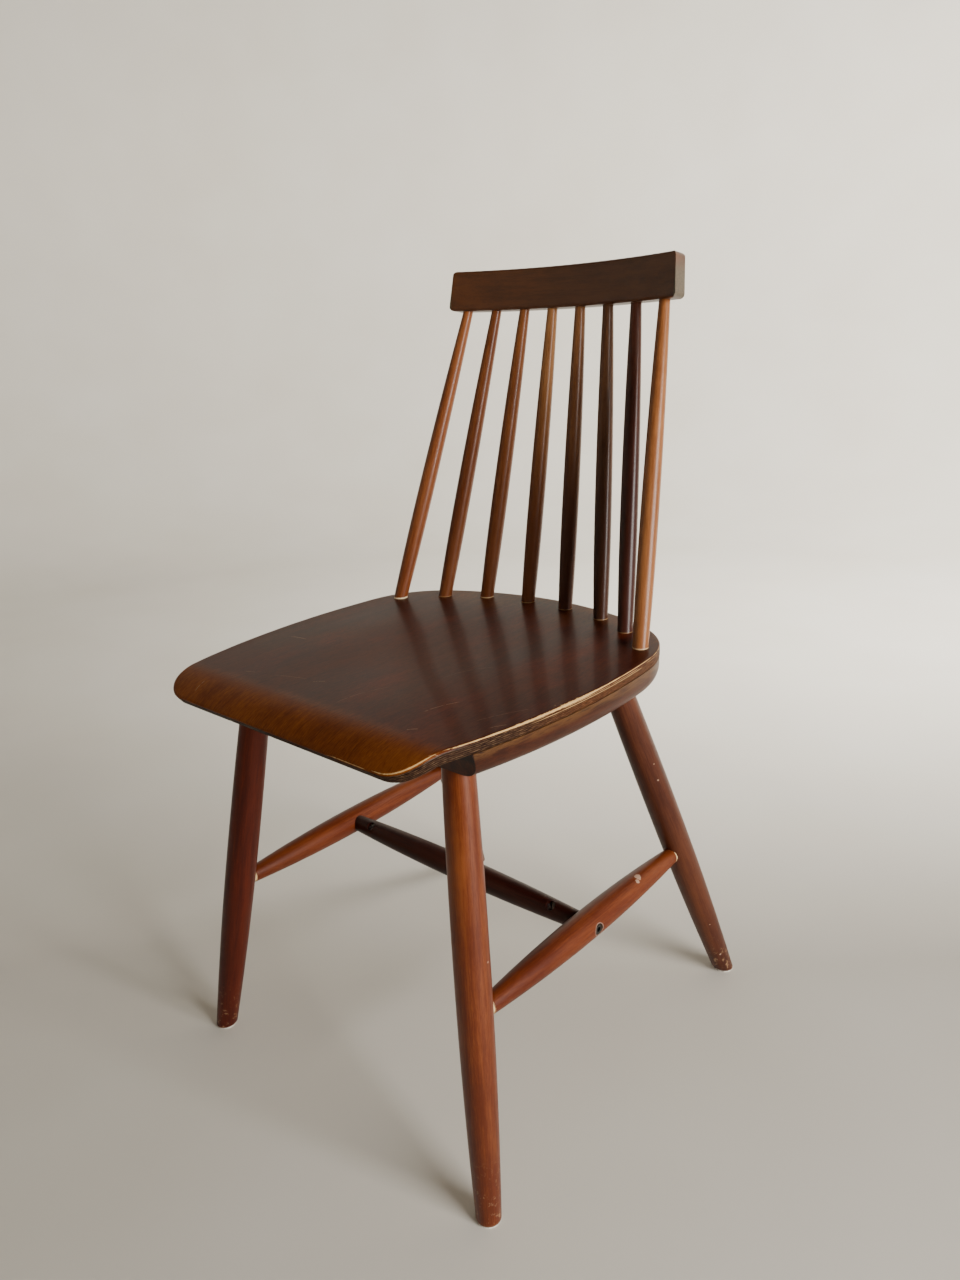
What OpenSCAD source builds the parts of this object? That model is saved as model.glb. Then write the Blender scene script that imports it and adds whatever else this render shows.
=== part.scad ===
// Spindle-back dining chair.
// A moulded plywood seat lies on two solid side bearers. Four turned, splayed
// legs are tenoned up into the bearers and tied by an H of three stretchers.
// Eight turned spindles stand in the rear of the seat and carry a curved rail.
// Frame: floor at z = 0, +Z up, the sitter faces -Y, +X is the sitter's left.
// The origin is on the floor, midway between front edge and rear feet.

/* [Whole chair] */
// Front edge of the seat to the back of the rear feet
chair_depth = 482.5; // [470:0.5:495]
// Height of the seat surface at its rear edge
seat_height = 440.8; // [430:0.2:455]
// Height of the top rail's upper corners, the highest part of the chair
chair_height = 799.6; // [786:0.2:816]
// Half the distance between the two front feet, centre to centre
front_foot_x = 194.5; // [185:0.5:200]
// Half the distance between the two rear feet, centre to centre
rear_foot_x = 195.5; // [185:0.5:200]

/* [Seat board] */
// Width of the seat at its widest
seat_width = 383.5; // [376:0.5:396]
// Depth of the seat in plan
seat_depth = 409.5; // [403:0.5:417]
// Thickness of the moulded plywood
ply_thickness = 11; // [9:0.5:13]
// Fall of the seat towards its front edge, in degrees
seat_tilt = 0.7; // [0:0.1:2]
// Outer radius of the rolled-down front edge
roll_radius = 68; // [56:1:80]
// Angle through which the front edge rolls down
roll_angle = 38; // [32:1:45]
// Radius of the rear edge in plan
rear_edge_radius = 300; // [280:5:330]
// Radius of the long side edges in plan
side_edge_radius = 710; // [650:10:850]
// Radius of the rear corners in plan
rear_corner_radius = 104; // [92:1:115]
// Radius of the front corners in plan
front_corner_radius = 32; // [24:1:38]

/* [Side bearers] */
// Depth of a bearer below the plywood at the rear edge of the seat
bearer_depth = 30.8; // [27:0.2:36]
// Distance from the middle of the chair to a bearer's inner face
bearer_inner_x = 108; // [98:1:110]
// Radius of the bearer's lower outer edge
bearer_round = 22; // [14:1:23]
// Setback of the bearers behind the seat's front edge
bearer_setback = 61; // [56:1:64]
// Distance the bearer's front end slopes back from top to bottom
bearer_end_slope = 10; // [0:1:10]

/* [Legs] */
// Diameter of a leg at its thickest, about stretcher height
leg_diameter = 32; // [30:0.5:34]
// Diameter of a leg where it meets the bearer
leg_top_diameter = 28.2; // [26:0.2:29]
// Diameter of a leg at the foot
leg_foot_diameter = 22.4; // [20:0.2:24]
// Diameter of the tenon on the top of each leg
leg_tenon_diameter = 22; // [18:0.5:22]
// Length of the leg tenon inside the bearer
leg_tenon_length = 19; // [14:1:19]

/* [Stretchers] */
// Height of the side stretchers at the front legs
stretcher_front_z = 183; // [175:1:190]
// Height of the side stretchers at the rear legs
stretcher_rear_z = 187.3; // [178:0.5:195]
// Diameter of the side stretchers at their middle
stretcher_diameter = 29; // [27:0.5:31]
// Diameter of the cross stretcher at its middle
cross_diameter = 26.6; // [25:0.2:29]
// Diameter of the stretchers at their ends
stretcher_end_diameter = 17; // [16:0.5:19]
// Diameter of the tenons on the side stretchers
stretcher_tenon_diameter = 15; // [12:0.5:15]

/* [Back] */
// Distance between spindles along the top rail
spindle_pitch_top = 35.8; // [33:0.1:36.5]
// Distance between the two middle spindles at the seat
spindle_pitch_seat = 52; // [46:0.5:54]
// Diameter of a spindle at its thickest
spindle_diameter = 17.8; // [16:0.2:19]
// Diameter of a spindle where it enters the rail
spindle_top_diameter = 10.8; // [10:0.2:12]
// Diameter of a spindle where it enters the seat
spindle_foot_diameter = 15.2; // [14:0.2:16]
// Length of the top rail
rail_length = 286; // [280:1:300]
// Height of the top rail at its middle
rail_height = 42; // [36:1:48]
// Thickness of the top rail
rail_thickness = 17.5; // [16.5:0.5:20]
// Radius to which the top rail is bent
rail_radius = 555; // [480:5:700]
// Backward lean of the top rail, in degrees
rail_lean = 6.7; // [4:0.1:9]

/* [Hidden] */
round_fn = 96;

front_y = -chair_depth / 2;
back_y = front_y + seat_depth;
bearer_base = seat_height - ply_thickness - bearer_depth;
widest_y = -22.75;

// Centres and radii of the arcs that bound the seat in plan.
rear_arc = [0, back_y - rear_edge_radius];
side_arc = [seat_width / 2 - side_edge_radius, widest_y];

// Point at distances p and q from points a and b, on the left of a to b.
function meet(a, p, b, q) =
  let (d = norm(b - a), u = (b - a) / d)
  let (s = (p * p - q * q + d * d) / (2 * d))
  let (h = sqrt(p * p - s * s))
  a + s * u + h * [-u[1], u[0]];
function unit(v) = v / norm(v);

rear_corner = meet(
  side_arc, side_edge_radius - rear_corner_radius,
  rear_arc, rear_edge_radius - rear_corner_radius
);
// Leg axes, each from the floor up to the underside of the bearer.
glide_thickness = 2;
joint_z = bearer_base;
rear_foot_y = chair_depth / 2 - leg_foot_diameter / 2 * 1.004;
front_foot = [front_foot_x, front_y + 37.2, 0];
front_head = [135.3, front_y + 87.1, joint_z];
rear_foot = [rear_foot_x, rear_foot_y, 0];
rear_head = [143.6, back_y - 100.3, joint_z];

// Ends and middle of a side stretcher axis, taken on the leg axes.
function on_line(a, b, z) = a + (b - a) * (z - a[2]) / (b[2] - a[2]);
stretcher_front = on_line(front_foot, front_head, stretcher_front_z);
stretcher_rear = on_line(rear_foot, rear_head, stretcher_rear_z);
cross_share = 0.485;
cross_point = stretcher_front + (stretcher_rear - stretcher_front) * cross_share;
stretcher_tenon_length = 16;
tenon_neck = 1.2;

// Connector hardware at each end of the cross stretcher.
head_recess = 7;
head_recess_diameter = 12;
bolt_head_diameter = 10;
bolt_head_height = 6;
bolt_diameter = 6;
bolt_bore = 6.6;
bolt_socket = 5;
nut_x = cross_point[0] - 39.5;
nut_diameter = 10;
nut_length = 13;
nut_angle = 53;
nut_hole_floor = 7;

// The rail is bent in its own leaning frame; its ends come forward and up.
rail_mid_y = back_y + 19.9;
rail_mid_radius = rail_radius + rail_thickness / 2;
rail_end_taper = 3;
function rail_sag(x) = rail_mid_radius - sqrt(pow(rail_mid_radius, 2) - x * x);
rail_end_rise = rail_sag(rail_length / 2 - rail_end_taper) * sin(rail_lean);
rail_rise = rail_height * cos(rail_lean) + rail_thickness / 2 * sin(rail_lean) + rail_end_rise;
rail_base = chair_height - rail_rise;

// Spindle axes, from the seat surface to the underside of the rail.
spindle_reach = [0.5, 1.523, 2.394, 3.15];
spindle_row_y = back_y - 21.7;
spindle_row_fall = 68.7;
spindle_seat_tenon = 25;
spindle_rail_tenon = 14;
seat_tenon_diameter = 14;
rail_tenon_diameter = 10;
function seat_spot(i) =
  let (x = spindle_reach[i] * spindle_pitch_seat)
  let (y = spindle_row_y - spindle_row_fall * pow(x / 163.8, 2.6))
  [x, y, seat_height - (back_y - y) * tan(seat_tilt)];
function rail_spot(i) =
  let (x = (i + 0.5) * spindle_pitch_top)
  let (back = -rail_sag(x) - 1)
  [x, rail_mid_y + back * cos(rail_lean), rail_base - back * sin(rail_lean)];

// Lays the z axis along the line from a to b, starting at a. What it carries is
// first turned about that axis by side_turn.
side_turn = 35;
module along(a, b) {
  v = b - a;
  translate(a)
    rotate([0, acos(v[2] / norm(v)), atan2(v[1], v[0])])
      rotate(side_turn)
        children();
}

module mirrored(flip) {
  if (flip) mirror([1, 0, 0]) children();
  else children();
}

// Swelled turned bar: radius r0 at 0, rm at the share s of its length, r1 at the end.
function swell(t, s, r0, rm, r1) =
  t < s ? rm - (rm - r0) * pow((s - t) / s, 2)
        : rm - (rm - r1) * pow((t - s) / (1 - s), 2);
module turned(length, s, r0, rm, r1, steps = 20) {
  points = [for (i = [0 : steps]) [swell(i / steps, s, r0, rm, r1), length * i / steps]];
  rotate_extrude($fn = round_fn)
    polygon(concat([[0, 0]], points, [[0, length]]));
}

// ---- seat board -------------------------------------------------------------

// Corner piece of the plan: the wedge from a corner's centre that spans
// directions u and v, with everything beyond the corner's arc taken away.
// The arc is a hair larger than the tangent one, so it crosses its neighbours.
corner_overlap = 0.05;
module wedge(c, u, v) {
  polygon([c, c + 150 * u, c + 300 * unit(u + v), c + 150 * v]);
}
module round_off(c, r, u, v) {
  difference() {
    children();
    difference() {
      wedge(c, u, v);
      translate(c) circle(r + corner_overlap, $fn = round_fn);
    }
  }
}
rear_u = unit(rear_corner - side_arc);
rear_v = unit(rear_corner - rear_arc);
module half_outline() {
  round_off(rear_corner, rear_corner_radius, rear_u, rear_v)
    intersection() {
      translate(rear_arc) circle(rear_edge_radius, $fn = 240);
      translate(side_arc) circle(side_edge_radius, $fn = 480);
      translate([0, front_y - 5]) square([seat_width, seat_depth + 10]);
    }
}
module outline() {
  half_outline();
  mirror([1, 0]) half_outline();
}

// Frame of the tilted seat sheet: origin on the rear edge of its top face.
module seat_frame() {
  translate([0, back_y, seat_height]) rotate([seat_tilt, 0, 0]) children();
}
roll_drop = roll_radius * (1 - cos(roll_angle));
roll_run = roll_radius * sin(roll_angle);
roll_start = (-seat_depth - roll_drop * sin(seat_tilt)) / cos(seat_tilt) + roll_run;
module sheet_section() {
  translate([roll_start, -ply_thickness]) square([-roll_start + 20, ply_thickness]);
  translate([roll_start, -roll_radius])
    intersection() {
      difference() {
        circle(roll_radius, $fn = 240);
        circle(roll_radius - ply_thickness, $fn = 240);
      }
      polygon([[0, 0], [0, 3 * roll_radius], [-3 * roll_radius * tan(roll_angle), 3 * roll_radius]]);
    }
}
module bent_sheet() {
  seat_frame()
    translate([-seat_width, 0, 0])
      rotate([90, 0, 90])
        linear_extrude(2 * seat_width) sheet_section();
}
// The front corners are cut square to the rolled sheet, part-way round the roll.
corner_turn = 0.7 * roll_angle;
corner_v = -roll_radius * sin(roll_angle - corner_turn) + front_corner_radius;
corner_y = front_y + front_corner_radius * cos(corner_turn);
corner_reach = side_edge_radius - front_corner_radius;
corner_x = side_arc[0] + sqrt(pow(corner_reach, 2) - pow(corner_y - side_arc[1], 2));
corner_u = unit([corner_x - side_arc[0], (corner_y - side_arc[1]) * cos(corner_turn)]);
module corner_offcut() {
  centre = [corner_x, corner_v];
  seat_frame()
    translate([0, roll_start - roll_radius * sin(corner_turn), -roll_radius * (1 - cos(corner_turn))])
      rotate([corner_turn, 0, 0])
        translate([0, 0, -40])
          linear_extrude(80)
            difference() {
              wedge(centre, corner_u, [0, -1]);
              translate(centre) circle(front_corner_radius, $fn = round_fn);
            }
}
module spindle_bore(i, flip, r, below, above) {
  a = seat_spot(i);
  b = rail_spot(i);
  mirrored(flip)
    along(a, b)
      translate([0, 0, -below]) cylinder(r = r, h = below + above, $fn = 48);
}
module seat_board() {
  color([0.27, 0.12, 0.07])
    difference() {
      intersection() {
        bent_sheet();
        translate([0, 0, bearer_base - 20]) linear_extrude(90) outline();
      }
      for (flip = [false, true]) mirrored(flip) corner_offcut();
      for (i = [0 : 3], flip = [false, true])
        spindle_bore(i, flip, seat_tenon_diameter / 2, 40, 20);
    }
}

// ---- side bearers -----------------------------------------------------------

bearer_top_y = front_y + bearer_setback;
function under_seat(y) = seat_height - (back_y - y) * tan(seat_tilt) - ply_thickness / cos(seat_tilt);
module bearer_side_view() {
  polygon([
    [bearer_top_y, under_seat(bearer_top_y)],
    [back_y + 10, under_seat(back_y + 10)],
    [back_y + 10, bearer_base],
    [bearer_top_y + bearer_end_slope, bearer_base]
  ]);
}
// Disc with its lower rim rounded; three of these bound the bearer outside.
module puck(c, r) {
  translate([c[0], c[1], bearer_base])
    rotate_extrude($fn = 240)
      union() {
        square([r - bearer_round, 60]);
        translate([0, bearer_round]) square([r, 60 - bearer_round]);
        translate([r - bearer_round, bearer_round]) circle(bearer_round, $fn = 64);
      }
}
module rear_wedge() {
  translate([0, 0, bearer_base - 5]) linear_extrude(80) wedge(rear_corner, rear_u, rear_v);
}
// The bearer's rear corner lies a hair inside the corner of the seat.
corner_ease = 0.2;
module bearer_blank() {
  difference() {
    intersection() {
      translate([bearer_inner_x, 0, 0])
        rotate([90, 0, 90]) linear_extrude(150) bearer_side_view();
      puck(side_arc, side_edge_radius);
      puck(rear_arc, rear_edge_radius);
    }
    difference() {
      rear_wedge();
      puck(rear_corner, rear_corner_radius - corner_ease);
    }
  }
}
module leg_mortise(foot, head) {
  translate(head) along([0, 0, 0], head - foot)
    translate([0, 0, -20])
      cylinder(d = leg_tenon_diameter, h = leg_tenon_length + 21, $fn = 64);
}
module bearer(flip) {
  color([0.36, 0.16, 0.09])
    mirrored(flip)
      difference() {
        bearer_blank();
        leg_mortise(front_foot, front_head);
        leg_mortise(rear_foot, rear_head);
        for (i = [2 : 3]) spindle_bore(i, false, seat_tenon_diameter / 2, spindle_seat_tenon + 1, 20);
      }
}

// ---- legs -------------------------------------------------------------------

foot_run_out = 10;
head_run_out = 16;
function leg_radius(t) = swell(
  min(max(t, 0), 1), 0.56, leg_foot_diameter / 2, leg_diameter / 2, leg_top_diameter / 2
);
module leg_turning(length) {
  steps = 24;
  points = [for (i = [0 : steps]) [leg_radius(i / steps), length * i / steps]];
  low = [[0, -foot_run_out], [leg_radius(0), -foot_run_out]];
  high = [[leg_radius(1), length + head_run_out], [0, length + head_run_out]];
  rotate_extrude($fn = round_fn) polygon(concat(low, points, high));
}
// Mortise for the tenon, with a seat for the shoulder where the leaning leg meets it.
module stretcher_mortise(a, b) {
  shoulder_gap = 0.05;
  seat_radius = stretcher_end_diameter / 2 + shoulder_gap;
  shoulder_run = 10;
  along(a, b) {
    translate([0, 0, -stretcher_tenon_length + 13])
      cylinder(d = stretcher_tenon_diameter, h = 30, $fn = 48);
    translate([0, 0, leg_radius_at(a[2]) + tenon_neck])
      cylinder(r1 = seat_radius, r2 = seat_radius + 1, h = shoulder_run, $fn = 48);
  }
}
module leg(flip, foot, head, joint, other) {
  length = norm(head - foot);
  foot_radius = leg_foot_diameter / 2;
  color([0.40, 0.17, 0.10])
    mirrored(flip)
      difference() {
        union() {
          intersection() {
            along(foot, head) leg_turning(length);
            translate([foot[0] - length, foot[1] - length, glide_thickness])
              cube([2 * length, 2 * length, joint_z - glide_thickness]);
            translate([foot[0], foot[1], glide_thickness])
              union() {
                cylinder(r1 = foot_radius - 1, r2 = foot_radius + 3, h = 4, $fn = round_fn);
                translate([-length, -length, 4]) cube([2 * length, 2 * length, joint_z]);
              }
          }
          translate(head) along([0, 0, 0], head - foot)
            translate([0, 0, -leg_tenon_diameter])
              cylinder(d = leg_tenon_diameter, h = leg_tenon_length + leg_tenon_diameter, $fn = 64);
        }
        stretcher_mortise(joint, other);
        translate([foot[0], foot[1], 0]) cylinder(d = nail_diameter, h = nail_length, $fn = 24);
      }
}

// ---- stretchers -------------------------------------------------------------

side_length = norm(stretcher_rear - stretcher_front);
function leg_radius_at(z) = leg_radius(z / joint_z);
side_start = leg_radius_at(stretcher_front_z) + tenon_neck;
side_end = side_length - leg_radius_at(stretcher_rear_z) - tenon_neck;
module side_stretcher_blank() {
  end_radius = stretcher_end_diameter / 2;
  tenon_from = -stretcher_tenon_length + 14;
  along(stretcher_front, stretcher_rear) {
    translate([0, 0, side_start])
      turned(side_end - side_start, 0.5, end_radius, stretcher_diameter / 2, end_radius, 24);
    translate([0, 0, tenon_from])
      cylinder(d = stretcher_tenon_diameter, h = side_length - 2 * tenon_from, $fn = 48);
  }
}
recess_floor = cross_point[0] + stretcher_diameter / 2 - head_recess;
module side_stretcher(flip) {
  color([0.38, 0.15, 0.09])
    mirrored(flip)
      difference() {
        side_stretcher_blank();
        translate([recess_floor, cross_point[1], cross_point[2]])
          rotate([0, 90, 0]) cylinder(d = head_recess_diameter, h = 30, $fn = 48);
        translate([cross_point[0] - 30, cross_point[1], cross_point[2]])
          rotate([0, 90, 0]) cylinder(d = bolt_bore, h = 50, $fn = 36);
      }
}
nut_direction = [0, -cos(nut_angle), sin(nut_angle)];
module at_nut(flip) {
  mirrored(flip)
    translate([nut_x, cross_point[1], cross_point[2]])
      along([0, 0, 0], nut_direction) children();
}
module cross_stretcher() {
  reach = cross_point[0];
  end_radius = stretcher_end_diameter / 2;
  color([0.22, 0.10, 0.07])
    difference() {
      translate([-reach, cross_point[1], cross_point[2]])
        rotate([0, 90, 0])
          turned(2 * reach, 0.5, end_radius, cross_diameter / 2, end_radius, 24);
      for (flip = [false, true]) {
        mirrored(flip) side_stretcher_blank();
        mirrored(flip)
          translate([nut_x - 9, cross_point[1], cross_point[2]])
            rotate([0, 90, 0]) cylinder(d = bolt_bore, h = 60, $fn = 36);
        at_nut(flip)
          translate([0, 0, -nut_hole_floor])
            cylinder(d = nut_diameter, h = nut_hole_floor + 20, $fn = 48);
      }
    }
}

// ---- connector hardware -----------------------------------------------------

module connector_bolt(flip) {
  color([0.45, 0.44, 0.42])
    mirrored(flip)
      translate([0, cross_point[1], cross_point[2]])
        rotate([0, 90, 0])
          difference() {
            union() {
              translate([0, 0, recess_floor])
                cylinder(d = bolt_head_diameter, h = bolt_head_height, $fn = 48);
              translate([0, 0, nut_x - 7])
                cylinder(d = bolt_diameter, h = recess_floor - nut_x + 8, $fn = 36);
            }
            translate([0, 0, recess_floor + bolt_head_height - 3])
              cylinder(d = bolt_socket * 2 / sqrt(3), h = 5, $fn = 6);
          }
}
module barrel_nut(flip) {
  color([0.50, 0.49, 0.46])
    difference() {
      at_nut(flip)
        difference() {
          translate([0, 0, -nut_length / 2])
            cylinder(d = nut_diameter, h = nut_length, $fn = 48);
          translate([-nut_diameter, -0.7, nut_length / 2 - 1.5])
            cube([2 * nut_diameter, 1.4, 5]);
        }
      mirrored(flip)
        translate([nut_x - 20, cross_point[1], cross_point[2]])
          rotate([0, 90, 0]) cylinder(d = bolt_diameter, h = 40, $fn = 36);
    }
}

// ---- spindles and rail ------------------------------------------------------

rail_edge_round = 3;
rail_corner = 5;
module rail_frame() {
  translate([0, rail_mid_y, rail_base]) rotate([-rail_lean, 0, 0]) children();
}
module rail_section() {
  w = rail_thickness / 2 - rail_edge_round;
  h = rail_height - rail_edge_round;
  translate([rail_mid_radius, 0]) {
    for (x = [-w, w], y = [rail_edge_round, h])
      translate([x, y]) circle(rail_edge_round, $fn = 48);
    translate([-rail_thickness / 2, rail_edge_round])
      square([rail_thickness, rail_height - 2 * rail_edge_round]);
    translate([-w, 0]) square([2 * w, rail_height]);
  }
}
// Outline of the rail seen square on: ends drawn in towards the top, corners rounded.
module rail_front_view() {
  half = rail_length / 2;
  low = rail_corner;
  high = rail_height - rail_corner;
  in = half - rail_end_taper;
  polygon([[-half, low], [half, low], [in, high], [-in, high]]);
  translate([-half + rail_corner, 0]) square([2 * (half - rail_corner), rail_corner + 1]);
  translate([-in + rail_corner, high - 1]) square([2 * (in - rail_corner), rail_corner + 1]);
  for (s = [-1, 1]) {
    translate([s * (half - rail_corner), low]) circle(rail_corner, $fn = 48);
    translate([s * (in - rail_corner), high]) circle(rail_corner, $fn = 48);
  }
}
module top_rail() {
  color([0.21, 0.11, 0.06])
    difference() {
      rail_frame()
        intersection() {
          translate([0, -rail_mid_radius, 0])
            rotate([0, 0, 60]) rotate_extrude(angle = 60, $fn = 480) rail_section();
          translate([0, 60, 0])
            rotate([90, 0, 0]) linear_extrude(180) rail_front_view();
        }
      for (i = [0 : 3], flip = [false, true])
        spindle_rail_bore(i, flip);
    }
}
module spindle_rail_bore(i, flip) {
  a = seat_spot(i);
  b = rail_spot(i);
  mirrored(flip)
    translate(b) along([0, 0, 0], b - a)
      translate([0, 0, -20])
        cylinder(d = rail_tenon_diameter, h = 20 + spindle_rail_tenon + 1, $fn = 36);
}
module spindle_turning(length) {
  steps = 24;
  start = -0.06;
  span = 1.12;
  share = 0.3;
  points = [
    for (i = [0 : steps])
      let (t = start + span * i / steps)
      [
        swell(min(max(t, 0), 1.03), share, spindle_foot_diameter / 2,
              spindle_diameter / 2, spindle_top_diameter / 2),
        length * t
      ]
  ];
  rotate_extrude($fn = 64)
    polygon(concat([[0, length * start]], points, [[0, length * (start + span)]]));
}
module spindle(i, flip) {
  a = seat_spot(i);
  b = rail_spot(i);
  length = norm(b - a);
  into_bearer = seat_spot(i)[0] > bearer_inner_x + 8;
  color([0.48, 0.24, 0.13])
    mirrored(flip)
      union() {
        difference() {
          along(a, b) spindle_turning(length);
          seat_frame() translate([-300, -600, -60]) cube([600, 800, 60]);
          rail_frame() translate([-300, -300, 0]) cube([600, 600, 60]);
        }
        intersection() {
          along(a, b)
            translate([0, 0, -spindle_seat_tenon])
              cylinder(d = seat_tenon_diameter, h = spindle_seat_tenon + 6, $fn = 48);
          if (!into_bearer)
            seat_frame() translate([-300, -600, -ply_thickness]) cube([600, 800, 60]);
          else
            translate([-300, -300, 300]) cube([600, 800, 300]);
        }
        translate(b) along([0, 0, 0], b - a)
          translate([0, 0, -6])
            cylinder(d = rail_tenon_diameter, h = 6 + spindle_rail_tenon, $fn = 36);
      }
}

// ---- foot glides ------------------------------------------------------------

nail_diameter = 2;
nail_length = 16;
nail_head_diameter = 5;
glide_diameter = 19.4;
module glide(flip, foot) {
  color([0.86, 0.84, 0.80])
    mirrored(flip)
      translate([foot[0], foot[1], 0])
        difference() {
          cylinder(d = glide_diameter, h = glide_thickness, $fn = 64);
          translate([0, 0, -1]) cylinder(d = nail_head_diameter, h = 2, $fn = 36);
          cylinder(d = nail_diameter, h = 10, $fn = 24);
        }
}
module nail(flip, foot) {
  mirrored(flip)
    translate([foot[0], foot[1], 0]) {
      translate([0, 0, 0.4]) cylinder(d = nail_head_diameter, h = 0.6, $fn = 36);
      translate([0, 0, 0.9]) cylinder(d = nail_diameter, h = nail_length - 0.9, $fn = 24);
    }
}
module glide_nails() {
  color([0.60, 0.60, 0.58])
    for (flip = [false, true], foot = [front_foot, rear_foot]) nail(flip, foot);
}

// ---- named pieces -----------------------------------------------------------

seat_board();
bearer(false);  // bearer_left
bearer(true);  // bearer_right
leg(false, front_foot, front_head, stretcher_front, stretcher_rear);  // leg_front_left
leg(true, front_foot, front_head, stretcher_front, stretcher_rear);  // leg_front_right
leg(false, rear_foot, rear_head, stretcher_rear, stretcher_front);  // leg_rear_left
leg(true, rear_foot, rear_head, stretcher_rear, stretcher_front);  // leg_rear_right
side_stretcher(false);  // stretcher_left
side_stretcher(true);  // stretcher_right
cross_stretcher();
spindle(3, true);  // spindle_1
spindle(2, true);  // spindle_2
spindle(1, true);  // spindle_3
spindle(0, true);  // spindle_4
spindle(0, false);  // spindle_5
spindle(1, false);  // spindle_6
spindle(2, false);  // spindle_7
spindle(3, false);  // spindle_8
top_rail();
connector_bolt(false);  // connector_bolt_left
connector_bolt(true);  // connector_bolt_right
barrel_nut(false);  // barrel_nut_left
barrel_nut(true);  // barrel_nut_right
glide(false, front_foot);  // glide_front_left
glide(true, front_foot);  // glide_front_right
glide(false, rear_foot);  // glide_rear_left
glide(true, rear_foot);  // glide_rear_right
glide_nails();
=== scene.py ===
import math

import bpy
import numpy as np
from mathutils import Matrix, Vector


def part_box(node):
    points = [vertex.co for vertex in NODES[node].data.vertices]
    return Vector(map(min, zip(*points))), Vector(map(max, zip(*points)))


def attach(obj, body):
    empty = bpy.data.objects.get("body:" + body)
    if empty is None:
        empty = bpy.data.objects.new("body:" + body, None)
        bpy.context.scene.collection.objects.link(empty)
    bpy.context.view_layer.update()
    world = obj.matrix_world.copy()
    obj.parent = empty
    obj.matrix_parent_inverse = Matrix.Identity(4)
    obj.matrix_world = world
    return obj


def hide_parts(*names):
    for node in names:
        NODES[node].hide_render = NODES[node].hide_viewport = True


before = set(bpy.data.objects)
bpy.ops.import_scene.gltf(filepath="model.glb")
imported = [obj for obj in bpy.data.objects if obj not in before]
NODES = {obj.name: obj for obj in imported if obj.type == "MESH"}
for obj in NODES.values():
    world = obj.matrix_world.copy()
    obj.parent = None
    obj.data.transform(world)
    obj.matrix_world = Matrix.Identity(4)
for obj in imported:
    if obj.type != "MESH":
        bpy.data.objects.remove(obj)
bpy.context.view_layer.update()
MM = 0.001


# ---- measures taken from the frame -------------------------------------------

SEAT_LOW, SEAT_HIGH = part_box("seat_board")
SEAT_TOP = SEAT_HIGH.z
SEAT_FRONT = SEAT_LOW.y
SEAT_BACK = SEAT_HIGH.y
SEAT_HALF = SEAT_HIGH.x


def points_of(node):
    """The node's vertices as an array, in metres."""
    return np.array([v.co for v in NODES[node].data.vertices])


def bar_frame(node):
    """Frame of a long round bar: its middle, with the z axis along it, and its half length."""
    points = points_of(node)
    middle = (points.max(0) + points.min(0)) / 2
    spread = points - points.mean(0)
    axis = Vector(np.linalg.eigh(spread.T @ spread)[1][:, -1])
    if axis.z < 0 or (abs(axis.z) < 0.1 and axis.y < 0):
        axis = -axis
    turn = axis.to_track_quat("Z", "Y").to_matrix().to_4x4()
    along = (points - middle) @ np.array(axis)
    middle = Vector(middle) + axis * float(along.max() + along.min()) / 2
    return Matrix.Translation(middle) @ turn, float(along.max() - along.min()) / 2


# ---- small tools for shader nodes --------------------------------------------


def tone(text):
    """Linear colour from a hex sRGB one."""
    parts = [int(text[i:i + 2], 16) / 255 for i in (0, 2, 4)]
    line = [c / 12.92 if c <= 0.04045 else ((c + 0.055) / 1.055) ** 2.4 for c in parts]
    return (*line, 1.0)


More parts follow.
